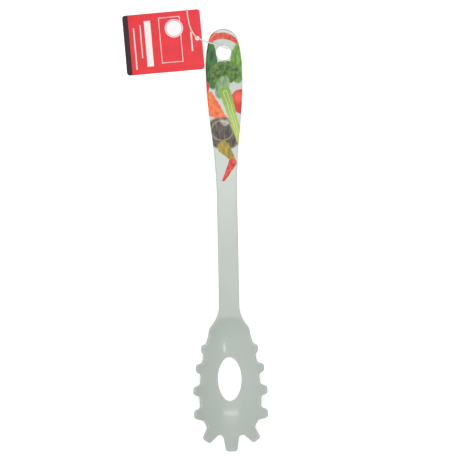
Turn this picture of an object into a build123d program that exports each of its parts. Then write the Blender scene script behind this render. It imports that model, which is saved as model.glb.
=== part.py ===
from build123d import *
import math
import os

# Pasta server in millimetres, lying on its back on a table: X across, +Y towards
# the end of the handle, +Z up, origin under the middle of the server.

overrun = 2.0  # how far every cutting tool runs past what it cuts

edge_round = 0.9  # along the handle and neck

# Handle and neck, seen from above
handle_length = 220.5  # from its end to the shoulder of the bowl
grip_width = 26.4
grip_inset = 30.0  # end of the handle to its widest place
grip_end_share = 0.83  # end radius, of the half width
neck_width = 14.7
flank_run = 94.0  # widest place to where the sides run straight
flank_bend_share = 0.45  # where the side turns from bulging to hollow
flare_length = 21.0  # from where the neck starts to widen to the shoulder
flare_bend_share = 0.65
shoulder_width = 30.6

# Handle and neck, seen from the side
grip_thickness = 4.6
grip_slope = 8.5  # degrees
arch_start = 107.0  # from the end of the handle to where it starts to arch
neck_rise = 13.2  # how much higher the underside is at the shoulder than at the end
thumb_dish_length = 42.0
thumb_dish_width = 15.5
thumb_dish_depth = 0.8
thumb_dish_inset = 50.5

# Print moulded in the front of the handle
print_thickness = 0.3
print_margin = 1.2  # from the edges of the handle and of its hole
print_length = 102.0

# Bowl, seen from above, to the bottoms of the gaps between the teeth
bowl_width = 44.8
bowl_length = 74.0  # from the shoulder to the front
bowl_widest_share = 0.64  # of the way from the shoulder to the front
bowl_corner_shares = (0.813, 0.885)  # of the half width, of the bowl's length
bowl_nose_shares = (0.49, 0.973)

# Bowl, seen from the side and in section
bowl_wall = 2.9
bowl_radius = 35.0
bowl_back_radius = 66.0  # along the middle, behind and before the drain hole
bowl_front_radius = 90.0
bowl_sweep = 75.0  # degrees
sole_depth = 2.0  # taken off the belly, so that the server stands flat

# Teeth
front_reach = 10.5
side_reach = 4.8
corner_reach = 9.3
side_tooth_width = 5.4
corner_tooth_width = 6.8
front_tooth_width = 8.2
tooth_flare = 3.4  # how much wider a tooth is at its root
tooth_root = 4.0  # how deep a tooth is sunk in the rim
tooth_tip_round = 2.3
gap_round = 2.6
corner_turn = 52  # degrees
# Each row: place along the bowl, root's share of half the bowl's width, reach, width
side_tooth_shares = (
    (0.144, 0.770, 0.72, 0.94),
    (0.332, 0.902, 0.96, 1.00),
    (0.548, 0.985, 1.00, 1.04),
    (0.775, 0.945, 1.16, 1.10),
)
corner_tooth_shares = (0.936, 0.576)

# Holes
hang_hole = 11.0
hang_inset = 17.5
drain_width = 17.7
drain_length = 32.5
drain_inset = 52.0  # from the tip of the front tooth

# Card tag, beside the end of the handle, its left end on the table
card_length = 56.4
card_width = 43.7
card_thickness = 0.4
card_corner = 2.5
card_turn = 4.0  # degrees
card_lift = 1.7  # under its right end, where the string is
card_gap = 1.8  # between the widest part of the handle and the card's right end
card_inset = 9.1  # from the end of the handle to the middle of the card
card_hole = 3.2
card_hole_inset = 3.5
card_hole_side = 0.9  # off the middle of the card's width

# String
string_diameter = 0.8
string_gap = 0.1  # between the string and what it passes
knot_diameter = 2.3
fold_height = 1.8  # where the string is folded round the card's edge
bend_share = 0.45  # of the shorter run at each corner of a route
# Directions in which the string leaves the knot: to the loop, back from it, to the card's edge
loop_out = (0.80, -0.25, 0.545)
loop_back = (0.80, -0.55, -0.25)
wrap_out = (-0.74, 0.65, -0.18)
# Loop: its bend at the handle's side, and where it goes down through the hole, shares of the
# hole's diameter from the hole's middle
loop_side_gap = 1.15  # from the rounded end of the handle to the bend
loop_side_share = 0.74
loop_drop_shares = (0.29, 0.30)
loop_back_share = 0.43  # of the way from the knot to the bend below
# Wrap: its fold on the card's upper edge, in card hole insets from the hole, and its places
# along U and V, shares of the way from the hole to the fold
fold_inset_share = 1.59
wrap_front_shares = ((0.50, 0.17), (0.86, 0.42), (0.96, 0.67), (1.00, 0.86))
wrap_behind_shares = ((0.95, 0.86), (0.78, 0.655), (0.47, 0.358), (0.18, 0.153))
# Wrap's way up through the card's hole: shares of the hole's diameter and of the fold's height
wrap_low_shares = (-0.09, 0.31, -0.53)
wrap_up_share = 0.12

# Places along Y
overall_length = handle_length + bowl_length + front_reach
handle_end = overall_length / 2
front_end = -overall_length / 2
widest_y = handle_end - grip_inset
neck_y = widest_y - flank_run
apex_y = front_end + front_reach
shoulder_y = apex_y + bowl_length
flare_y = shoulder_y + flare_length
hang_y = handle_end - hang_inset
drain_y = front_end + drain_inset
arch_y = handle_end - arch_start
thumb_y = handle_end - thumb_dish_inset

half_grip, half_neck, half_shoulder = grip_width / 2, neck_width / 2, shoulder_width / 2
half_bowl = bowl_width / 2
belly_z = bowl_radius - sole_depth
beyond_x = half_bowl + corner_reach
slope = math.radians(grip_slope)
handle_normal = Vector(0, math.sin(slope), math.cos(slope))


def between(start, end, share):
    """Point of the plan at a share of the way from start to end."""
    return tuple(a + (b - a) * share for a, b in zip(start, end))


# Server, seen from above, without its teeth: arcs that run into each other
end_radius = half_grip * grip_end_share
to_widest = grip_inset - end_radius
side_radius = (half_grip**2 + to_widest**2 - end_radius**2) / (2 * (half_grip - end_radius))
end_turn = math.atan2(to_widest, side_radius - half_grip)
end_join = (
    end_radius * math.cos(end_turn),
    handle_end - end_radius + end_radius * math.sin(end_turn),
)
widest = (half_grip, widest_y)
flank_bend = between(widest, (half_neck, neck_y), flank_bend_share)
shoulder = (half_shoulder, shoulder_y)
flare_bend = between((half_neck, flare_y), shoulder, flare_bend_share)
cheek, corner, nose = (
    (half_bowl * wide, shoulder_y - bowl_length * down)
    for wide, down in ((1, bowl_widest_share), bowl_corner_shares, bowl_nose_shares)
)

with BuildSketch() as plan:
    with BuildLine():
        end_arc = TangentArc((0, handle_end), end_join, tangent=(1, 0))
        TangentArc(end_join, widest, tangent=end_arc % 1)
        bulge = TangentArc(widest, flank_bend, tangent=(0, -1))
        TangentArc(flank_bend, (half_neck, neck_y), tangent=bulge % 1)
        Line((half_neck, neck_y), (half_neck, flare_y))
        hollow = TangentArc((half_neck, flare_y), flare_bend, tangent=(0, -1))
        TangentArc(flare_bend, shoulder, tangent=hollow % 1)
        nose_arc = TangentArc((0, apex_y), nose, tangent=(1, 0))
        corner_arc = TangentArc(nose, corner, tangent=nose_arc % 1)
        cheek_arc = TangentArc(corner, cheek, tangent=corner_arc % 1)
        TangentArc(cheek, shoulder, tangent=cheek_arc % 1)
        mirror(about=Plane.YZ)
    make_face()


def tooth(width, reach):
    """Plan of one tooth that points along +X from its root at the origin."""
    with BuildSketch() as one:
        with BuildLine():
            tip, root = width / 2, (width + tooth_flare) / 2
            sunk = root + (root - tip) / reach * tooth_root
            Polyline(
                (-tooth_root, sunk), (reach, tip), (reach, -tip), (-tooth_root, -sunk),
                close=True,
            )
        make_face()
        fillet(one.vertices().group_by(Axis.X)[-1], tooth_tip_round)
    return one.sketch


def both_sides(shape, place, root_share, turn):
    """Adds a tooth to the right rim and its mirror image to the left one."""
    x, y = half_bowl * root_share, shoulder_y - bowl_length * place
    with Locations(Location((x, y), -turn), Location((-x, y), 180 + turn)):
        add(shape)


with BuildSketch() as toothed_plan:
    add(plan.sketch)
    for place, root_share, reach_share, width_share in side_tooth_shares:
        both_sides(
            tooth(side_tooth_width * width_share, side_reach * reach_share),
            place, root_share, 0,
        )
    both_sides(tooth(corner_tooth_width, corner_reach), *corner_tooth_shares, corner_turn)
    with Locations(Location((0, apex_y), -90)):
        add(tooth(front_tooth_width, front_reach))
    # Out and back in again rounds the bottoms of the gaps
    offset(amount=gap_round, kind=Kind.ARC)
    offset(amount=-gap_round, kind=Kind.ARC)

# Side view of the handle and neck: straight from the end, then one long arch.
# The rounded end just touches the table.
end_drop = edge_round * (math.tan(slope) + 1 / math.cos(slope) - 1)
top_start = grip_thickness / math.cos(slope) - end_drop
# The arch runs on from the straight part and ends at the shoulder
arch_run = arch_y - shoulder_y
arch_drop = arch_start * math.tan(slope) - neck_rise
arch_radius = (arch_run**2 + arch_drop**2) / (
    2 * (arch_run * math.sin(slope) + arch_drop * math.cos(slope))
)


def side_line(start_z, end_y):
    """Points of a long side of the handle in YZ: its end, the arch's start, middle, end."""
    rise = start_z + arch_start * math.tan(slope)
    centre_y = arch_y - arch_radius * math.sin(slope)
    centre_z = rise - arch_radius * math.cos(slope)

    def on_arch(y):
        return (y, centre_z + math.sqrt(arch_radius**2 - (y - centre_y) ** 2))

    return (handle_end, start_z), (arch_y, rise), on_arch((arch_y + end_y) / 2), on_arch(end_y)


under = side_line(-end_drop, shoulder_y)
middle = side_line(top_start / 2, shoulder_y)
upper = side_line(top_start, shoulder_y)

with BuildPart() as bar:
    with BuildSketch(Plane.YZ):
        with BuildLine():
            Line(under[0], under[1])
            ThreePointArc(*under[1:])
            Line(under[3], upper[3])
            ThreePointArc(*upper[1:])
            Line(upper[1], upper[0])
            Line(upper[0], under[0])
        make_face()
    extrude(amount=beyond_x, both=True)
    with BuildSketch(Plane.XY.offset(-overrun)):
        add(plan.sketch)
        with Locations((0, hang_y)):
            Circle(hang_hole / 2, mode=Mode.SUBTRACT)
    extrude(amount=belly_z + overrun, mode=Mode.INTERSECT)
    fillet(
        bar.edges().filter_by(
            lambda e: e.center().Y > shoulder_y + edge_round and abs(e.tangent_at(0.5).Z) < 0.9
        ),
        edge_round,
    )
    # Hollow for the thumb, a ring that dips in the front of the handle
    across = (thumb_dish_width**2 / 4 + thumb_dish_depth**2) / (2 * thumb_dish_depth)
    along = (thumb_dish_length**2 / 4 + thumb_dish_depth**2) / (2 * thumb_dish_depth)
    thumb_top = Vector(0, thumb_y, top_start + thumb_dish_inset * math.tan(slope))
    ring_centre = thumb_top + handle_normal * (along - thumb_dish_depth)
    ring_plane = Plane(
        origin=ring_centre, x_dir=(1, 0, 0), z_dir=(0, math.cos(slope), -math.sin(slope))
    )
    with BuildSketch(ring_plane):
        with BuildLine():
            half_dish, dish_top = thumb_dish_width / 2, along - thumb_dish_depth
            ThreePointArc((-half_dish, dish_top), (0, along), (half_dish, dish_top))
            Polyline(
                (half_dish, dish_top),
                (half_dish + overrun, dish_top - overrun),
                (-half_dish - overrun, dish_top - overrun),
                (-half_dish, dish_top),
            )
        make_face()
    revolve(axis=Axis(ring_centre, (1, 0, 0)), mode=Mode.SUBTRACT)

with BuildPart() as handle_print:
    with BuildSketch(Plane.XY.offset(-overrun)):
        add(plan.sketch)
        offset(amount=-print_margin)
        with Locations((0, hang_y)):
            Circle(hang_hole / 2 + print_margin, mode=Mode.SUBTRACT)
        with Locations((0, handle_end - print_length / 2)):
            Rectangle(grip_width, print_length, mode=Mode.INTERSECT)
    extrude(amount=belly_z + overrun)
    add(bar.part, mode=Mode.INTERSECT)
    add(bar.part.moved(Location(handle_normal * -print_thickness)), mode=Mode.SUBTRACT)


def belly(inset):
    """Solid that the bowl's outer face follows, or with an inset its inner face."""
    radius = bowl_radius - inset
    with BuildPart() as ring:
        with BuildSketch(Plane.XZ.offset(-drain_y)) as section:
            with BuildLine():
                CenterArc((0, belly_z), radius, 180, 180)
                Polyline(
                    (radius, belly_z),
                    (radius, belly_z + overrun),
                    (-radius, belly_z + overrun),
                    (-radius, belly_z),
                )
            make_face()
        for rise_radius, side in ((bowl_back_radius, 1), (bowl_front_radius, -1)):
            pivot = Axis((0, drain_y, rise_radius - sole_depth), (side, 0, 0))
            revolve(section.sketch, axis=pivot, revolution_arc=bowl_sweep)
    return ring.part


with BuildPart() as server_body:
    with BuildSketch(Plane.XY):
        add(toothed_plan.sketch)
    extrude(amount=belly_z)
    add(belly(0), mode=Mode.INTERSECT)
    # Behind the shoulder only what hangs under the middle of the neck stays
    with BuildSketch(Plane.YZ):
        with BuildLine():
            Polyline(
                middle[3],
                (shoulder_y, belly_z + overrun),
                (arch_y, belly_z + overrun),
                middle[1],
            )
            ThreePointArc(*middle[1:])
        make_face()
    extrude(amount=beyond_x, both=True, mode=Mode.SUBTRACT)
    add(bar.part)
    add(belly(bowl_wall), mode=Mode.SUBTRACT)
    with BuildSketch(Plane.XY.offset(-overrun)):
        with Locations((0, drain_y)):
            Ellipse(drain_width / 2, drain_length / 2)
    extrude(amount=belly_z, mode=Mode.SUBTRACT)
    add(handle_print.part, mode=Mode.SUBTRACT)

# Card, tilted so that the string fits under its right end
turn = math.radians(card_turn)
tilt = math.asin(card_lift / card_length)
card_plane = Plane(
    origin=(
        -half_grip - card_gap - card_length / 2,
        handle_end - card_inset,
        (card_lift + card_thickness) / 2,
    ),
    x_dir=(math.cos(turn) * math.cos(tilt), math.sin(turn) * math.cos(tilt), math.sin(tilt)),
    z_dir=(-math.cos(turn) * math.sin(tilt), -math.sin(turn) * math.sin(tilt), math.cos(tilt)),
)
hole_u, hole_v = card_length / 2 - card_hole_inset, card_hole_side
half_card = card_thickness / 2

with BuildPart() as hang_tag:
    with BuildSketch(card_plane.offset(-half_card)):
        RectangleRounded(card_length, card_width, card_corner)
        with Locations((hole_u, hole_v)):
            Circle(card_hole / 2, mode=Mode.SUBTRACT)
    extrude(amount=card_thickness)

# Knot, a ball on the card over its hole
half_string, half_knot = string_diameter / 2, knot_diameter / 2
knot_w = half_card + string_gap + half_knot
knot_centre = card_plane.from_local_coords(Vector(hole_u, hole_v, knot_w))

with BuildPart() as string_knot:
    with Locations(knot_centre):
        Sphere(half_knot)


def tube_radii(points):
    """Bend radii of a route, each as large as the shorter run at its corner allows."""
    radii = []
    for a, b, c in zip(points, points[1:], points[2:]):
        run_in, run_out = b - a, c - b
        half_turn = math.radians(run_in.get_angle(run_out)) / 2
        shorter = min(run_in.length, run_out.length)
        radii.append(bend_share * shorter / math.tan(half_turn))
    return radii


def report_tube(name, points, path, tube):
    """Prints a cord's bend radii, and its volume beside section times length."""
    section = math.pi * string_diameter**2 / 4
    length = sum(edge.length for edge in path.edges())
    print(name, "radii", [round(radius, 2) for radius in tube_radii(points)])
    print(name, "length", round(length, 2), "mm, volume", round(tube.volume, 3),
          "section x length", round(section * length, 3))


# Loop: from the knot over the left wall of the hang hole, down through the hole and
# back to the knot under the handle
def top_at(y):
    return top_start + (handle_end - y) * math.tan(slope) + half_string + string_gap


side_y = hang_y + hang_hole * loop_side_share
side_x = -loop_side_gap - math.sqrt(end_radius**2 - (side_y - handle_end + end_radius) ** 2)
drop_x, drop_y = hang_hole * loop_drop_shares[0], hang_y + hang_hole * loop_drop_shares[1]
low_z = half_string + string_gap * 3
end_gap = half_knot + string_gap / 2
loop_start = knot_centre + Vector(*loop_out).normalized() * end_gap
loop_end = knot_centre + Vector(*loop_back).normalized() * end_gap
below_side = Vector(side_x, side_y, knot_centre.Z - string_gap)
mid_x, mid_y = (side_x + drop_x) / 2, (side_y + drop_y) / 2
loop_points = [
    loop_start,
    Vector(side_x, side_y, top_at(side_y) + string_gap),
    Vector(mid_x, mid_y - string_gap * 2, top_at(mid_y)),
    Vector(drop_x, drop_y, top_at(drop_y)),
    Vector(drop_x, drop_y - string_gap * 2, low_z),
    Vector(mid_x, mid_y + string_gap * 2, low_z - string_gap / 2),
    Vector(side_x, side_y + string_gap * 2, low_z),
    loop_end + (below_side - loop_end) * loop_back_share,
    loop_end,
]

with BuildPart() as string_loop:
    with BuildLine() as loop_path:
        FilletPolyline(*loop_points, radius=tube_radii(loop_points))
    with BuildSketch(Plane(origin=loop_path.line @ 0, z_dir=loop_path.line % 0)):
        Circle(half_string)
    sweep()
report_tube("string_loop", loop_points, loop_path.line, string_loop.part)

# Wrap: from the knot over the card's upper edge, and back behind the card to the hole
# and up through it to the knot
near_w = half_card + half_string + string_gap
fold_v = card_width / 2 + half_string + string_gap * 2
fold_u = hole_u - card_hole_inset * fold_inset_share
reach_u, reach_v = fold_u - hole_u, fold_v - hole_v
wrap_start = Vector(hole_u, hole_v, knot_w) + Vector(*wrap_out).normalized() * end_gap
wrap_local = [wrap_start]
wrap_local += [
    Vector(hole_u + reach_u * u, hole_v + reach_v * v, near_w) for u, v in wrap_front_shares
]
wrap_local += [
    Vector(fold_u, fold_v, fold_height / 2),
    Vector(fold_u, fold_v + string_gap / 2, -fold_height / 2),
]
wrap_local += [
    Vector(hole_u + reach_u * u, hole_v + reach_v * v, -near_w) for u, v in wrap_behind_shares
]
low_u, low_v, low_w = wrap_low_shares
wrap_local += [
    Vector(hole_u + card_hole * low_u, hole_v + card_hole * low_v, fold_height * low_w),
    Vector(hole_u, hole_v + card_hole * wrap_up_share, knot_w - end_gap),
]
wrap_points = [card_plane.from_local_coords(point) for point in wrap_local]

with BuildPart() as string_wrap:
    with BuildLine() as wrap_path:
        FilletPolyline(*wrap_points, radius=tube_radii(wrap_points))
    with BuildSketch(Plane(origin=wrap_path.line @ 0, z_dir=wrap_path.line % 0)):
        Circle(half_string)
    sweep()
report_tube("string_wrap", wrap_points, wrap_path.line, string_wrap.part)

os.makedirs("parts", exist_ok=True)
for name, piece in (
    ("server_body", server_body),
    ("handle_print", handle_print),
    ("hang_tag", hang_tag),
    ("string_knot", string_knot),
    ("string_loop", string_loop),
    ("string_wrap", string_wrap),
):
    piece.part.label = name
    export_step(piece.part, f"parts/{name}.step")
    print(name, round(piece.part.volume, 2), piece.part.is_valid, piece.part.bounding_box())
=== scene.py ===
import math

import bmesh
import bpy
import numpy as np
from mathutils import Matrix, Vector
from mathutils.geometry import delaunay_2d_cdt


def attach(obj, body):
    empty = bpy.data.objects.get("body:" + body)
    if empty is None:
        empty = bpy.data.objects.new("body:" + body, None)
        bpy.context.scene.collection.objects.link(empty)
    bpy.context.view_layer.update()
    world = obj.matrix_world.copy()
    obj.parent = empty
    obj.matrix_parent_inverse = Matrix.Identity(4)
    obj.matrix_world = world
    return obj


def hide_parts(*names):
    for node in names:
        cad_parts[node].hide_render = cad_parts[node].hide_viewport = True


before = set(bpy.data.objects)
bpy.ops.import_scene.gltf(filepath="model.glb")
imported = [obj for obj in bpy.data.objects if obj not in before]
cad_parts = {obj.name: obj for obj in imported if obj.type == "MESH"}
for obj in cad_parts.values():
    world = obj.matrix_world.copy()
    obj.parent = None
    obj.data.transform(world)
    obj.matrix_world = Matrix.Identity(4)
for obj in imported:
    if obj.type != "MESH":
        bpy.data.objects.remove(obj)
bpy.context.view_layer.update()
scene = bpy.context.scene
scene.view_settings.view_transform = "Standard"
print("frame loaded")


# Camera, above the table and a little towards the tag's side, its angles in degrees
cameraSizes = {"aim": (0.0021, 0.0070, 0.008), "distance": 3.0, "sideways": 1.8,
               "lens": 325.6, "sensor": 36, "farthest": 10, "roll": 1.12}


def addCamera():
    side = math.radians(cameraSizes["sideways"])
    roll = math.radians(cameraSizes["roll"])
    back = Vector((-math.sin(side), 0, math.cos(side)))
    up = Vector((math.sin(roll), math.cos(roll), 0))
    right = up.cross(back).normalized()
    up = back.cross(right)
    camera = bpy.data.objects.new("camera", bpy.data.cameras.new("camera"))
    scene.collection.objects.link(camera)
    camera.data.lens = cameraSizes["lens"]
    camera.data.sensor_width = cameraSizes["sensor"]
    camera.data.clip_end = cameraSizes["farthest"]
    matrix = Matrix((right, up, back)).transposed().to_4x4()
    matrix.translation = Vector(cameraSizes["aim"]) + back * cameraSizes["distance"]
    camera.matrix_world = matrix
    scene.camera = camera


addCamera()
print("camera placed")


# Shader maths: a socket that takes part in Python expressions
class Wire:
    def __init__(self, tree, socket):
        self.tree, self.socket = tree, socket

    def math(self, operation, *others):
        return addNode(self.tree, "ShaderNodeMath", {"operation": operation},
                       {0: self, **{i + 1: other for i, other in enumerate(others)}})[0]

    def __add__(self, other): return self.math("ADD", other)
    def __radd__(self, other): return self.math("ADD", other)
    def __sub__(self, other): return self.math("SUBTRACT", other)
    def __rsub__(self, other): return self.math("MULTIPLY", -1).math("ADD", other)
    def __mul__(self, other): return self.math("MULTIPLY", other)
    def __rmul__(self, other): return self.math("MULTIPLY", other)
    def __truediv__(self, other): return self.math("DIVIDE", other)
    def __rtruediv__(self, other): return self.math("POWER", -1).math("MULTIPLY", other)
    def __abs__(self): return self.math("ABSOLUTE")

    def root(self): return self.math("SQRT")
    def least(self, other): return self.math("MINIMUM", other)
    def most(self, other): return self.math("MAXIMUM", other)

    def step(self, low, high):  # 0 below low, 1 above high, smooth between
        return addNode(self.tree, "ShaderNodeMapRange", {"interpolation_type": "SMOOTHSTEP"},
                       {0: self, 1: low, 2: high})[0]


class Outputs:
    def __init__(self, tree, node):
        self.tree, self.node = tree, node

    def __getitem__(self, key):
        return Wire(self.tree, self.node.outputs[key])


def addNode(tree, kind, settings=None, values=None):
    node = tree.nodes.new(kind)
    for name, value in (settings or {}).items():
        setattr(node, name, value)
    for key, value in (values or {}).items():
        socket = node.inputs[key]
        if isinstance(value, Wire):
            tree.links.new(value.socket, socket)
        elif socket.type == "RGBA" and len(value) == 3:
            socket.default_value = (*value, 1)
        else:
            socket.default_value = value
    return Outputs(tree, node)


def newMaterial(name, sockets):
    material = bpy.data.materials.new(name)
    material.use_nodes = True
    tree = material.node_tree
    shader = principled(tree)
    for key, value in sockets.items():
        shader.inputs[key].default_value = (*value, 1) if isinstance(value, tuple) else value
    return material, tree


def principled(tree):
    return next(node for node in tree.nodes if node.type == "BSDF_PRINCIPLED")


def objectPlace(tree):
    return addNode(tree, "ShaderNodeTexCoord")["Object"]


def split(tree, where):
    parts = addNode(tree, "ShaderNodeSeparateXYZ", None, {0: where})
    return parts[0], parts[1], parts[2]


def noise(tree, where, scale, detail=3, roughness=0.5):
    return addNode(tree, "ShaderNodeTexNoise", None,
                   {"Vector": where, "Scale": scale, "Detail": detail,
                    "Roughness": roughness})["Fac"]


def mapping(tree, where, settings):
    return addNode(tree, "ShaderNodeMapping", None, {"Vector": where, **settings})["Vector"]


def mixColour(tree, factor, first, second):
    return addNode(tree, "ShaderNodeMix", {"data_type": "RGBA"},
                   {0: factor, 6: first, 7: second})[2]


def feed(tree, socket, wire):
    tree.links.new(wire.socket, principled(tree).inputs[socket])


def addBump(tree, height, distance, strength=1.0):
    bump = addNode(tree, "ShaderNodeBump", None,
                   {"Strength": strength, "Distance": distance, "Height": height})
    feed(tree, "Normal", bump["Normal"])


def addObject(name, mesh, material, body, replaces):
    piece = bpy.data.objects.new(name, mesh)
    scene.collection.objects.link(piece)
    mesh.materials.clear()
    mesh.materials.append(material)
    mesh.shade_smooth()
    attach(piece, body)
    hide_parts(*replaces)
    return piece


# String: two cords between the knot, the hanging hole and the card's upper edge
stringSizes = {"diameter": 0.0008, "plies": 3, "plyShare": 0.27, "plyRadiusShare": 0.27,
               "turnsPerMetre": 520, "spacing": 0.00012, "sides": 8, "smoothness": 24,
               "colour": (0.86, 0.86, 0.83), "deeper": (0.58, 0.58, 0.55),
               "fibres": 9000, "strands": 1400, "fibreHeight": 0.00006}
# Routes in millimetres, each from the knot and back to it
loopRoute = [(-17.72, 145.72, 3.9), (-12.0, 143.14, 6.51), (-4.41, 140.52, 6.77),
             (3.19, 138.3, 7.13), (3.19, 138.1, 0.7), (-4.41, 140.92, 0.65),
             (-12.0, 143.34, 0.7), (-15.26, 144.4, 3.03), (-17.72, 145.36, 2.94)]
wrapRoute = [(-19.61, 146.73, 3.0), (-21.69, 149.48, 2.55), (-24.06, 154.71, 2.6),
             (-24.99, 160.05, 2.58), (-25.5, 164.12, 2.6), (-25.71, 167.3, 2.75),
             (-25.66, 167.35, 0.45), (-25.18, 164.14, 0.86), (-23.93, 159.8, 0.94),
             (-21.76, 153.54, 1.0), (-19.84, 149.24, 1.03), (-18.96, 146.99, 0.83),
             (-18.67, 146.4, 1.9)]


def makeString():
    material, tree = newMaterial("string", {"Roughness": 0.75, "Sheen Weight": 0.2})
    where = objectPlace(tree)
    fibre = noise(tree, where, stringSizes["fibres"], 4, 0.7)
    shade = noise(tree, where, stringSizes["strands"], 2) * 0.45 + fibre * 0.55
    feed(tree, "Base Color", mixColour(tree, shade.step(0.3, 0.62), stringSizes["deeper"],
                                       stringSizes["colour"]))
    addBump(tree, fibre, stringSizes["fibreHeight"], 0.8)
    return material


def smoothRoute(name, route):
    curve = bpy.data.curves.new(name, "CURVE")
    curve.dimensions = "3D"
    curve.resolution_u = stringSizes["smoothness"]
    spline = curve.splines.new("NURBS")
    spline.points.add(len(route) - 1)
    for point, place in zip(spline.points, route):
        point.co = (*(v / 1000 for v in place), 1)
    spline.order_u = 3
    spline.use_endpoint_u = True
    holder = bpy.data.objects.new(name, curve)
    scene.collection.objects.link(holder)
    mesh = bpy.data.meshes.new_from_object(holder)
    bpy.data.objects.remove(holder)
    return mesh


def plyTree(material):
    tree = bpy.data.node_groups.new("twistedPlies", "GeometryNodeTree")
    tree.interface.new_socket("Geometry", in_out="OUTPUT", socket_type="NodeSocketGeometry")
    tree.interface.new_socket("Geometry", in_out="INPUT", socket_type="NodeSocketGeometry")
    names = {}
    for name in ("plies", "plyPlace", "plyRadius", "turnsPerMetre", "spacing"):
        kind = "NodeSocketInt" if name == "plies" else "NodeSocketFloat"
        names[name] = tree.interface.new_socket(name, in_out="INPUT", socket_type=kind).identifier
    given = addNode(tree, "NodeGroupInput")
    line = addNode(tree, "GeometryNodeMeshToCurve", None, {"Mesh": given["Geometry"]})["Curve"]
    line = addNode(tree, "GeometryNodeResampleCurve", {"mode": "LENGTH"},
                   {"Curve": line, "Length": given["spacing"]})["Curve"]
    copies = addNode(tree, "GeometryNodeDuplicateElements", {"domain": "SPLINE"},
                     {"Geometry": line, "Amount": given["plies"]})
    along = addNode(tree, "GeometryNodeSplineParameter")["Length"]
    share = copies["Duplicate Index"] / given["plies"]
    angle = (along * given["turnsPerMetre"] + share) * (2 * math.pi)
    normal = addNode(tree, "GeometryNodeInputNormal")["Normal"]
    tangent = addNode(tree, "GeometryNodeInputTangent")["Tangent"]
    side = addNode(tree, "ShaderNodeVectorRotate", {"rotation_type": "AXIS_ANGLE"},
                   {"Vector": normal, "Axis": tangent, "Angle": angle})["Vector"]
    shift = addNode(tree, "ShaderNodeVectorMath", {"operation": "SCALE"},
                    {0: side, "Scale": given["plyPlace"]})["Vector"]
    moved = addNode(tree, "GeometryNodeSetPosition", None,
                    {"Geometry": copies["Geometry"], "Offset": shift})["Geometry"]
    profile = addNode(tree, "GeometryNodeCurvePrimitiveCircle", None,
                      {"Resolution": stringSizes["sides"], "Radius": given["plyRadius"]})["Curve"]
    plies = addNode(tree, "GeometryNodeCurveToMesh", None,
                    {"Curve": moved, "Profile Curve": profile, "Fill Caps": True})["Mesh"]
    plies = addNode(tree, "GeometryNodeRealizeInstances", None, {"Geometry": plies})["Geometry"]
    plies = addNode(tree, "GeometryNodeSetMaterial", None,
                    {"Geometry": plies, "Material": material})["Geometry"]
    addNode(tree, "NodeGroupOutput", None, {"Geometry": plies})
    return tree, names


def twisted(mesh, tree, names, diameter, turns):
    holder = bpy.data.objects.new("plies", mesh)
    scene.collection.objects.link(holder)
    modifier = holder.modifiers.new("plies", "NODES")
    modifier.node_group = tree
    values = {"plies": stringSizes["plies"], "plyPlace": diameter * stringSizes["plyShare"],
              "plyRadius": diameter * stringSizes["plyRadiusShare"], "turnsPerMetre": turns,
              "spacing": stringSizes["spacing"]}
    for name, value in values.items():
        modifier[names[name]] = value
    seen = holder.evaluated_get(bpy.context.evaluated_depsgraph_get())
    made = bpy.data.meshes.new_from_object(seen)
    bpy.data.objects.remove(holder)
    return made


stringLook = makeString()
plies, plyNames = plyTree(stringLook)


def addCord(name, route, body, node):
    line = smoothRoute(name + "Route", route)
    mesh = twisted(line, plies, plyNames, stringSizes["diameter"], stringSizes["turnsPerMetre"])
    piece = addObject(name, mesh, stringLook, body, (node,))
    return piece


# Knot on the card over its hole
knotSizes = {"place": (-18.68, 146.02, 3.24), "radius": 0.235, "rise": 0.44, "turn": 0.5,
             "cord": 0.00062, "points": 90, "tighter": 1.3}


def addKnot():
    x, y, z = knotSizes["place"]
    points = []
    for i in range(knotSizes["points"] + 1):
        a = 2 * math.pi * i / knotSizes["points"] + knotSizes["turn"]
        points.append(((x + knotSizes["radius"] * (math.sin(a) + 2 * math.sin(2 * a))) / 1000,
                       (y + knotSizes["radius"] * (math.cos(a) - 2 * math.cos(2 * a))) / 1000,
                       (z - knotSizes["rise"] * math.sin(3 * a)) / 1000))
    mesh = bpy.data.meshes.new("knotRoute")
    mesh.from_pydata(points, [(i, i + 1) for i in range(len(points) - 1)], [])
    made = twisted(mesh, plies, plyNames, knotSizes["cord"],
                   stringSizes["turnsPerMetre"] * knotSizes["tighter"])
    return addObject("knot", made, stringLook, "knot", ("string_knot",))


knotPiece = addKnot()
addCord("stringLoop", loopRoute, "loop", "string_loop")
addCord("stringWrap", wrapRoute, "tag", "string_wrap")
print("string made")


# Melamine: pale grey-green, hard and shiny, with the faint unevenness of a moulding
melamineLook = {"colour": (0.55, 0.608, 0.555), "deeper": (0.515, 0.575, 0.522),
                "clouds": 18, "specks": 2600, "roughness": 0.19, "duller": 0.12,
                "coat": 0.3, "printCoat": 1.0, "coatRoughness": 0.03, "specular": 0.35,
                "waves": 45, "ripples": 300, "waveHeight": 0.00035}


def melamineColour(tree, where):
    shade = (noise(tree, where, melamineLook["clouds"], 4) * 0.7
             + noise(tree, where, melamineLook["specks"], 2) * 0.3)
    return mixColour(tree, shade.step(0.3, 0.7), melamineLook["deeper"], melamineLook["colour"])


def glossyMoulding(name, coat):
    look = melamineLook
    material, tree = newMaterial(name, {"Coat Weight": coat,
                                        "Coat Roughness": look["coatRoughness"],
                                        "Specular IOR Level": look["specular"]})
    where = objectPlace(tree)
    feed(tree, "Roughness", noise(tree, where, 60, 4) * look["duller"] + look["roughness"])
    waves = (noise(tree, where, look["waves"], 2) * 0.8
             + noise(tree, where, look["ripples"], 2) * 0.2)
    addBump(tree, waves, look["waveHeight"], 0.3)
    return material, tree, where


def makeMelamine():
    material, tree, where = glossyMoulding("melamine", melamineLook["coat"])
    feed(tree, "Base Color", melamineColour(tree, where))
    return material


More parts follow.
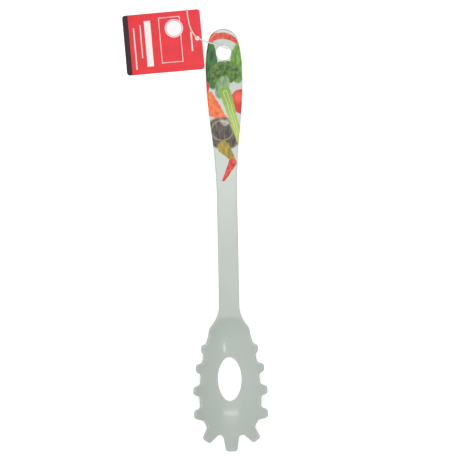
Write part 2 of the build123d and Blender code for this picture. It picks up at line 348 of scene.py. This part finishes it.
# Print on the handle: garden vegetables, placed in millimetres from the middle and from the end
printSizes = {"end": 152.5, "wobble": 1.5, "length": 104.5}


def makePrint():
    material, tree, where = glossyMoulding("print", melamineLook["printCoat"])
    wobble = addNode(tree, "ShaderNodeTexNoise", None,
                     {"Vector": where, "Scale": 170, "Detail": 2})["Color"]
    shiftX, shiftY, _ = split(tree, wobble)
    placeX, placeY, _ = split(tree, where)
    x = placeX * 1000 + (shiftX - 0.5) * printSizes["wobble"]
    t = printSizes["end"] - placeY * 1000 + (shiftY - 0.5) * printSizes["wobble"]
    grain = noise(tree, where, 420, 4)
    drawn = mapping(tree, where, {"Scale": (1, 0.2, 1), "Rotation": (0, 0, 0.35)})
    streak = noise(tree, drawn, 700, 3)
    paint = [melamineColour(tree, where)]

    def blob(cx, ct, rx, rt, turn=0.0):
        c, s = math.cos(math.radians(turn)), math.sin(math.radians(turn))
        u = ((x - cx) * c + (t - ct) * s) / rx
        v = ((t - ct) * c - (x - cx) * s) / rt
        return (u * u + v * v).root()

    def pod(ax, at, bx, bt, ra, rb):  # a tapered stretch between two places, and how far along
        span = (bx - ax) ** 2 + (bt - at) ** 2
        h = (((x - ax) * (bx - ax) + (t - at) * (bt - at)) / span).most(0).least(1)
        u = x - ax - h * (bx - ax)
        v = t - at - h * (bt - at)
        return (u * u + v * v).root() / (h * (rb - ra) + ra), h

    def inside(f, soft=0.05):
        return 1 - f.step(1 - soft, 1 + soft)

    def lay(mask, low, high, amount):
        paint[0] = mixColour(tree, mask, paint[0], mixColour(tree, amount, low, high))

    # leaves on both sides of the hole and below it
    lay(inside(blob(-10.0, 25, 5.6, 19, -5)), (0.006, 0.060, 0.010), (0.035, 0.17, 0.025),
        streak.step(0.35, 0.65))
    lay(inside(blob(10.6, 25, 6.2, 15, 5)), (0.07, 0.21, 0.015), (0.22, 0.42, 0.06),
        streak.step(0.3, 0.7))
    lay(inside(blob(0.5, 32, 11.0, 8.5, -8)), (0.028, 0.085, 0.010), (0.115, 0.24, 0.03),
        grain.step(0.35, 0.65))
    lay(inside(blob(-1.5, 42.5, 5.0, 8.5, 18)), (0.10, 0.22, 0.09), (0.30, 0.44, 0.22),
        streak.step(0.3, 0.7))
    # tomato at the right edge, carrot and radish at the left one
    lay(inside(blob(12.8, 53, 9.0, 9.0)), (0.58, 0.018, 0.012), (0.84, 0.085, 0.05),
        1 - blob(10.0, 50, 4.5, 4.5).step(0.2, 1.4))
    lay(inside(pod(-14.5, 53, -1.0, 65, 8.5, 2.5)[0]), (0.68, 0.085, 0.012), (0.90, 0.23, 0.06),
        grain.step(0.3, 0.7))
    lay(inside(blob(-13.4, 42, 2.6, 4.5)), (0.48, 0.018, 0.025), (0.76, 0.06, 0.05), grain)
    # mushroom with its folds
    cap = blob(-1.5, 76, 13.5, 11.5, 12)
    lay(inside(cap, 0.08), (0.032, 0.024, 0.018), (0.165, 0.135, 0.095), streak.step(0.25, 0.75))
    fold = abs(blob(-2.5, 74, 8.0, 7.0, 12) - 1)
    lay(inside(cap) * (1 - fold.step(0.02, 0.12)) * 0.55, (0.34, 0.28, 0.21),
        (0.48, 0.42, 0.34), grain)
    # pod across the middle, with a pale ridge
    bean, reach = pod(0.5, 46, 10.5, 82, 4.0, 2.2)
    lay(inside(bean), (0.14, 0.32, 0.02), (0.50, 0.60, 0.12), reach * 0.7 + grain * 0.4)
    lay(inside(bean) * (1 - abs(bean - 0.3).step(0.03, 0.12)) * 0.5, (0.75, 0.80, 0.40),
        (0.80, 0.84, 0.50), grain)
    # yellow and red peppers at the lower end
    lay(inside(pod(-1.5, 86, 5.0, 95, 4.4, 1.9)[0]), (0.22, 0.145, 0.008), (0.46, 0.34, 0.03),
        streak.step(0.3, 0.7))
    lay(inside(pod(4.6, 97, -2.5, 110, 3.0, 0.9)[0]), (0.46, 0.015, 0.012), (0.76, 0.07, 0.045),
        grain.step(0.35, 0.65))
    # orange band round the end of the handle
    lay(inside(blob(-1.0, 8.5, 11.5, 5.6, 8)) * blob(-0.5, 17.5, 12.0, 10.0).step(0.95, 1.03),
        (0.50, 0.028, 0.012), (0.78, 0.11, 0.04), grain.step(0.3, 0.7))
    feed(tree, "Base Color", paint[0])
    return material


# Server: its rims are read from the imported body, and its surfaces follow these millimetres
serverSizes = {"length": 305, "gripThickness": 4.6, "slope": 8.5, "archStart": 107,
               "shoulderInset": 220.5, "neckRise": 13.2, "cadEdge": 0.9,
               # thumb dish on the grip
               "dishInset": 50.5, "dishLength": 42, "dishWidth": 15.5, "dishDepth": 0.8,
               # bowl, past bowlOnly without the neck
               "wall": 2.9, "bowlRadius": 35, "backRadius": 66, "frontRadius": 90, "sole": 2,
               "drainInset": 52, "shellShare": 0.93, "far": 99, "bowlOnly": -80,
               # the neck runs into the bowl over these heights
               "topBlend": 1.4, "underBlend": 2.4,
               # the wall stands upright before leanFrom and square to the shell after leanTo
               "leanFrom": -56, "leanTo": -72, "slopeStep": 0.05, "tries": 5,
               # rounded rims
               "edge": 1.3, "edgeShare": 0.45, "holeEdge": 0.7, "edgeSteps": 5,
               # points along the rims and between them
               "weld": 0.002, "facingDown": -0.02, "closest": 0.13, "step": 0.5,
               "grid": 1.3, "rowShare": 0.866, "gridClear": 0.55,
               # sheet with the print
               "skin": 0.04, "skinDepth": 0.2, "skinEnd": 6, "skinTilt": 0.25}


def surfaces():
    s = serverSizes
    half = s["length"] / 2
    slope = math.radians(s["slope"])
    endDrop = s["cadEdge"] * (math.tan(slope) + 1 / math.cos(slope) - 1)
    topStart = s["gripThickness"] / math.cos(slope) - endDrop
    drainY = -half + s["drainInset"]
    run = s["shoulderInset"] - s["archStart"]
    drop = s["archStart"] * math.tan(slope) - s["neckRise"]
    archRadius = (run ** 2 + drop ** 2) / (2 * (run * math.sin(slope) + drop * math.cos(slope)))

    def bar(y, start):  # height of the grip and neck, straight and then arched
        if half - y < s["archStart"]:
            return start + (half - y) * math.tan(slope)
        rise = start + s["archStart"] * math.tan(slope)
        centreY = half - s["archStart"] - archRadius * math.sin(slope)
        centreZ = rise - archRadius * math.cos(slope)
        return centreZ + math.sqrt(archRadius ** 2 - (y - centreY) ** 2)

    def shell(x, y, inset):  # height of the bowl
        rise = s["backRadius"] if y > drainY else s["frontRadius"]
        radius = s["bowlRadius"] - inset
        reach = rise - s["bowlRadius"] + math.sqrt(max(radius ** 2 - x * x, 1))
        if abs(y - drainY) > s["shellShare"] * reach:
            return s["far"]
        return rise - s["sole"] - math.sqrt(reach ** 2 - (y - drainY) ** 2)

    def smaller(a, b, soft):  # the lower of two heights, rounded where they cross
        h = max(soft - abs(a - b), 0) / soft
        return min(a, b) - h * h * soft / 4

    def top(x, y):
        inner = shell(x, y, s["wall"])
        if y < s["bowlOnly"]:
            return inner
        u, v = x / (s["dishWidth"] / 2), (y - half + s["dishInset"]) / (s["dishLength"] / 2)
        dish = s["dishDepth"] * max(1 - u * u - v * v, 0)
        return smaller(bar(y, topStart), inner, s["topBlend"]) - dish

    def under(x, y):
        outer = shell(x, y, 0)
        if y < half - s["shoulderInset"] - s["wall"]:
            return max(outer, 0)
        return smaller(bar(y, -endDrop), outer, s["underBlend"])

    def wall(x, y):  # foot of the wall, its direction and its thickness
        foot = Vector((x, y, under(x, y)))
        lean = min(max((s["leanFrom"] - y) / (s["leanFrom"] - s["leanTo"]), 0), 1)
        lean = lean * lean * (3 - 2 * lean)
        step = s["slopeStep"]
        rise = Vector((0, 0, 1))
        if lean:
            slopeX = (shell(x + step, y, 0) - shell(x - step, y, 0)) / (2 * step)
            slopeY = (shell(x, y + step, 0) - shell(x, y - step, 0)) / (2 * step)
            rise = Vector((-slopeX * lean, -slopeY * lean, 1)).normalized()
        thick = top(x, y) - foot.z
        for _ in range(s["tries"]):
            end = foot + rise * thick
            thick += (top(end.x, end.y) - end.z) * rise.z
        return foot, rise, thick

    return wall


def readRims(node):  # edges between what faces down and what doesn't, longest rim first
    bm = bmesh.new()
    bm.from_mesh(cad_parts[node].data)
    bmesh.ops.remove_doubles(bm, verts=bm.verts, dist=serverSizes["weld"] / 1000)
    bm.normal_update()
    links = {}
    for edge in bm.edges:
        if sum(face.normal.z < serverSizes["facingDown"] for face in edge.link_faces) == 1:
            a, b = (vert.index for vert in edge.verts)
            links.setdefault(a, set()).add(b)
            links.setdefault(b, set()).add(a)
    bm.verts.ensure_lookup_table()
    rims = []
    while links:
        start = here = next(iter(links))
        chain = []
        while links.get(here):
            ahead = links[here].pop()
            links[ahead].discard(here)
            chain.append(bm.verts[here].co.xy * 1000)
            here = ahead
            if here == start:
                break
        links = {a: bs for a, bs in links.items() if bs}
        rims.append(chain)
    bm.free()
    rims.sort(key=len, reverse=True)
    return rims[:3]  # the outline, the drain hole and the hanging hole


def evenRim(chain, step, hole):  # even steps along a smooth closed line through the rim
    points = [chain[0]]
    for point in chain[1:]:
        if (point - points[-1]).length > serverSizes["closest"]:
            points.append(point)
    if (points[0] - points[-1]).length < serverSizes["closest"]:
        points.pop()
    area = sum(a.x * b.y - a.y * b.x for a, b in zip(points, points[1:] + points[:1]))
    if (area < 0) != hole:
        points.reverse()
    count = len(points)
    dense = []
    for i in range(count):
        a, b, c, d = (points[(i + k) % count] for k in (-1, 0, 1, 2))
        ta, tb, tc = (math.sqrt((q - p).length) for p, q in ((a, b), (b, c), (c, d)))
        tb, tc = ta + tb, ta + tb + tc
        pieces = max(2, math.ceil((c - b).length / step * 4))
        for k in range(pieces):
            t = ta + (tb - ta) * k / pieces
            ab = a.lerp(b, t / ta)
            bc = b.lerp(c, (t - ta) / (tb - ta))
            cd = c.lerp(d, (t - tb) / (tc - tb))
            dense.append(ab.lerp(bc, t / tb).lerp(bc.lerp(cd, (t - ta) / (tc - ta)),
                                                  (t - ta) / (tb - ta)))
    runs = [(q - p).length for p, q in zip(dense, dense[1:] + dense[:1])]
    total = sum(runs)
    wanted = round(total / step)
    even, i, passed = [], 0, 0.0
    for k in range(wanted):
        goal = total * k / wanted
        while passed + runs[i] < goal:
            passed += runs[i]
            i += 1
        even.append(dense[i].lerp(dense[(i + 1) % len(dense)], (goal - passed) / runs[i]))
    return even


def outward(rim):
    count = len(rim)
    for i in range(count):
        along = (rim[(i + 1) % count] - rim[i - 1]).normalized()
        yield Vector((along.y, -along.x))


def insideRims(places, rims):  # inside the outline and outside its holes
    result = np.zeros(len(places), bool)
    most = 2000  # at a time
    px, py = places[:, 0:1], places[:, 1:2]
    for rim in rims:
        a = np.array([tuple(p) for p in rim])
        b = np.roll(a, -1, axis=0)
        for first in range(0, len(places), most):
            x, y = px[first:first + most], py[first:first + most]
            crosses = (a[:, 1] > y) != (b[:, 1] > y)
            run = (b[:, 0] - a[:, 0]) / np.where(b[:, 1] == a[:, 1], 1, b[:, 1] - a[:, 1])
            hits = crosses & (x < a[:, 0] + run * (y - a[:, 1]))
            result[first:first + most] ^= hits.sum(axis=1) % 2 == 1
    return result


def serverMesh():
    s = serverSizes
    wall = surfaces()
    rims = [evenRim(chain, s["step"], number > 0)
            for number, chain in enumerate(readRims("server_body"))]
    verts, faces, inner = [], [], []
    for number, rim in enumerate(rims):
        size = s["holeEdge"] if number else s["edge"]
        rounds, rings = [], []
        for p, n in zip(rim, outward(rim)):
            _, rise, thick = wall(p.x, p.y)
            edge = min(size, thick * s["edgeShare"])
            # rounding a leaning wall draws its rim in, so it starts that much further out
            lean = max(-rise.xy.dot(n), 0)
            rounds.append((p + n * edge * lean / (1 + math.sqrt(1 - lean * lean)), n, edge))
        turns = [math.pi / 2 * k / s["edgeSteps"] for k in range(s["edgeSteps"] + 1)]
        for top, turn in [(True, a) for a in reversed(turns)] + [(False, a) for a in turns]:
            ring = []
            for p, n, size in rounds:
                q = p - n * size * (1 - math.cos(turn))
                foot, rise, thick = wall(q.x, q.y)
                drop = size * (1 - math.sin(turn))
                verts.append(foot + rise * (thick - drop if top else drop))
                ring.append(len(verts) - 1)
            rings.append(ring)
        for upper, lower in zip(rings, rings[1:]):
            for i in range(len(rim)):
                j = (i + 1) % len(rim)
                faces.append((upper[i], lower[i], lower[j], upper[j]))
        inner.append((rings[0], rings[-1], [p - n * size for p, n, size in rounds]))
    flat = [p for _, _, ring in inner for p in ring]
    ring = np.array([tuple(p) for p in flat])
    low, high = ring.min(axis=0), ring.max(axis=0)
    rowStep = s["grid"] * s["rowShare"]
    rows = int((high[1] - low[1]) / rowStep) + 1
    columns = int((high[0] - low[0]) / s["grid"]) + 2
    grid = np.array([(low[0] + s["grid"] * (k + row % 2 / 2), low[1] + rowStep * row)
                     for row in range(rows) for k in range(columns)])
    grid = grid[insideRims(grid, [points for _, _, points in inner])]
    clear = [np.hypot(*(ring - place).T).min() > s["grid"] * s["gridClear"] for place in grid]
    grid = grid[clear]
    edges, start = [], 0
    for _, _, points in inner:
        edges += [(start + i, start + (i + 1) % len(points)) for i in range(len(points))]
        start += len(points)
    cut = delaunay_2d_cdt(flat + [Vector(place) for place in grid], edges, [], 0, 1e-6)
    spots = np.array([tuple(v) for v in cut[0]])
    triangles = np.array(cut[2])
    keep = insideRims(spots[triangles].mean(axis=1), [points for _, _, points in inner])
    tops = {i: v for i, v in enumerate(v for up, _, _ in inner for v in up)}
    bottoms = {i: v for i, v in enumerate(v for _, down, _ in inner for v in down)}
    for i in range(len(flat), len(cut[0])):
        foot, rise, thick = wall(*cut[0][i])
        verts += [foot + rise * thick, foot]
        tops[i], bottoms[i] = len(verts) - 2, len(verts) - 1
    for a, b, c in triangles[keep]:
        faces.append((tops[a], tops[b], tops[c]))
        faces.append((bottoms[c], bottoms[b], bottoms[a]))
    mesh = bpy.data.meshes.new("server")
    mesh.from_pydata([tuple(v / 1000) for v in verts], [], faces)
    mesh.update()
    return mesh


def skinMesh(source):  # a thin closed sheet on the front of the handle
    s = serverSizes
    bm = bmesh.new()
    bm.from_mesh(source)
    limit = (s["length"] / 2 - printSizes["length"] - s["skinEnd"]) / 1000
    gone = [f for f in bm.faces
            if f.normal.z < s["skinTilt"] or f.calc_center_median().y < limit]
    bmesh.ops.delete(bm, geom=gone, context="FACES")
    bm.normal_update()
    normals = {v.index: source.vertices[v.index].normal.copy() for v in bm.verts}
    sheet = list(bm.faces)
    under = {}
    for v in list(bm.verts):
        lift = normals[v.index]
        under[v] = bm.verts.new(v.co - lift * s["skinDepth"] / 1000)
        v.co += lift * s["skin"] / 1000
    rim = [(loop.vert, loop.link_loop_next.vert) for f in sheet for loop in f.loops
           if loop.edge.is_boundary]
    for f in sheet:
        bm.faces.new([under[v] for v in reversed(f.verts)])
    for a, b in rim:
        bm.faces.new((b, a, under[a], under[b]))
        for edge in (bm.edges.get((a, b)), bm.edges.get((under[a], under[b]))):
            edge.smooth = False
    mesh = bpy.data.meshes.new("handlePrint")
    bm.to_mesh(mesh)
    bm.free()
    return mesh


serverBody = serverMesh()
addObject("server", serverBody, makeMelamine(), "server", ("server_body",))
print("server made", len(serverBody.vertices), "points")
addObject("handlePrint", skinMesh(serverBody), makePrint(), "server", ("handle_print",))
print("print made")


# Card: red front with a dark band, a pale disc and plain pale bars; white edges and back
cardSizes = {"middle": (-43.2, 143.4, 1.05), "turn": 4.0, "length": 56.4, "width": 43.7,
             "lift": 1.7, "front": 0.12, "soft": 0.03, "paper": 0.12}


def makeCard():
    material, tree = newMaterial("card", {"Coat Weight": 0.1, "Coat Roughness": 0.15})
    where = objectPlace(tree)
    placed = mapping(tree, where, {"Location": tuple(-v / 1000 for v in cardSizes["middle"])})
    turn = math.radians(cardSizes["turn"])
    tilt = math.asin(cardSizes["lift"] / cardSizes["length"])
    ahead = Vector((math.cos(turn), math.sin(turn), 0))
    along = ahead * math.cos(tilt) + Vector((0, 0, math.sin(tilt)))
    up = ahead * -math.sin(tilt) + Vector((0, 0, math.cos(tilt)))
    x, y, z = (addNode(tree, "ShaderNodeVectorMath", {"operation": "DOT_PRODUCT"},
                       {0: placed, 1: tuple(axis)})["Value"] * 1000
               for axis in (along, up.cross(along), up))
    fibre = noise(tree, where, 900, 4)
    ink = [mixColour(tree, noise(tree, where, 120, 3).step(0.3, 0.7), (0.74, 0.008, 0.018),
                     (0.82, 0.012, 0.025))]

    def box(cx, cy, wide, high, soft=0.12):
        side = abs(x - cx) - wide / 2
        end = abs(y - cy) - high / 2
        return 1 - side.most(end).step(-soft, soft)

    def lay(mask, colour):
        ink[0] = mixColour(tree, mask, ink[0], (*colour, 1))

    lay(box(-26.2, 0, 4.1, 60), (0.03, 0.012, 0.015))
    lay(box(-20.6, -3, 1.0, 30) + box(-15.8, 2, 0.8, 24), (0.80, 0.62, 0.60))
    lay(box(-10.5, 0, 4.6, 33), (0.86, 0.80, 0.79))
    lay(box(5.5, 1.5, 15.5, 33) * (1 - box(5.5, 1.5, 14.6, 32.1)), (0.85, 0.72, 0.70))
    disc = ((x - 8.5) * (x - 8.5) + (y - 9.5) * (y - 9.5)).root()
    lay(1 - disc.step(6.4, 6.7), (0.88, 0.87, 0.86))
    lay(disc.step(5.5, 5.65) * (1 - disc.step(5.9, 6.05)), (0.62, 0.08, 0.07))
    lay(box(20.5, -1, 1.1, 14), (0.82, 0.66, 0.64))
    front = z.step(cardSizes["front"] - cardSizes["soft"], cardSizes["front"] + cardSizes["soft"])
    edge = [abs(place) - cardSizes[side] / 2 + cardSizes["paper"]
            for place, side in ((x, "length"), (y, "width"))]
    edge = edge[0].most(edge[1])
    cover = front * (1 - edge.step(-0.05, 0.05))
    paper = mixColour(tree, fibre, (0.66, 0.65, 0.62), (0.80, 0.79, 0.76))
    feed(tree, "Base Color", mixColour(tree, cover, paper, ink[0]))
    feed(tree, "Roughness", 0.7 - cover * 0.42 + fibre * 0.05)
    addBump(tree, fibre * 0.4 + noise(tree, where, 60, 2) * 0.6, 0.0002, 0.35)
    return material


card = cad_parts["hang_tag"]
cardLook = makeCard()
if not card.material_slots:
    card.data.materials.append(cardLook)
for slot in card.material_slots:
    slot.material = cardLook
print("card made")


# Floor, white to the camera but for the object's faint shadow, and soft studio light
studioSizes = {"floor": 3.0, "floorCuts": 8, "floorColour": (0.8, 0.8, 0.8), "world": 0.51,
               "glow": 0.55}
# Soft lamps give the level, and mirrored ones only the highlights
lamps = {"handle": {"place": (0.0, 0.13, 0.27), "size": (0.2, 0.2), "power": 0.43,
                    "mirrored": False},
         "bowl": {"place": (-0.2, -0.75, 0.62), "size": (0.6, 0.6), "power": 2.2,
                  "mirrored": False},
         "crescent": {"place": (0.0, 1.45, 2.68), "size": (2.0, 0.24), "power": 9.0,
                      "mirrored": True},
         "glint": {"place": (0.232, -0.771, 0.687), "size": (0.05, 0.18), "power": 0.6,
                   "mirrored": True}}


def addFloor():
    bm = bmesh.new()
    cuts = studioSizes["floorCuts"]
    bmesh.ops.create_grid(bm, x_segments=cuts, y_segments=cuts, size=studioSizes["floor"] / 2)
    mesh = bpy.data.meshes.new("floor")
    bm.to_mesh(mesh)
    bm.free()
    floor = bpy.data.objects.new("floor", mesh)
    scene.collection.objects.link(floor)
    material, tree = newMaterial("floor", {"Base Color": studioSizes["floorColour"],
                                           "Roughness": 1.0, "Specular IOR Level": 0.0,
                                           "Emission Strength": 1.0})
    light = addNode(tree, "ShaderNodeLightPath")
    seen = light["Is Camera Ray"].most(light["Is Glossy Ray"]).most(light["Is Transmission Ray"])
    glow = studioSizes["glow"]
    feed(tree, "Emission Color", mixColour(tree, seen, (0, 0, 0, 1), (glow, glow, glow, 1)))
    mesh.materials.append(material)


def addLamp(name, place, size, power, mirrored):
    lamp = bpy.data.lights.new(name, "AREA")
    lamp.shape = "RECTANGLE"
    lamp.size, lamp.size_y = size
    lamp.energy = power
    holder = bpy.data.objects.new(name, lamp)
    scene.collection.objects.link(holder)
    back = (Vector(place) - Vector(cameraSizes["aim"])).normalized()
    holder.rotation_euler = back.to_track_quat("Z", "Y").to_euler()
    holder.location = place
    holder.visible_glossy = mirrored
    holder.visible_diffuse = not mirrored


def addWorld():
    world = bpy.data.worlds.new("studio")
    scene.world = world
    world.use_nodes = True
    tree = world.node_tree
    light = addNode(tree, "ShaderNodeLightPath")
    seen = light["Is Camera Ray"].most(light["Is Transmission Ray"])
    back = next(node for node in tree.nodes if node.type == "BACKGROUND")
    back.inputs["Color"].default_value = (1, 1, 1, 1)
    strength = seen * (1 - studioSizes["world"]) + studioSizes["world"]
    tree.links.new(strength.socket, back.inputs["Strength"])


addFloor()
for lampName, lampSizes in lamps.items():
    addLamp(lampName, **lampSizes)
addWorld()
print("floor and light ready")
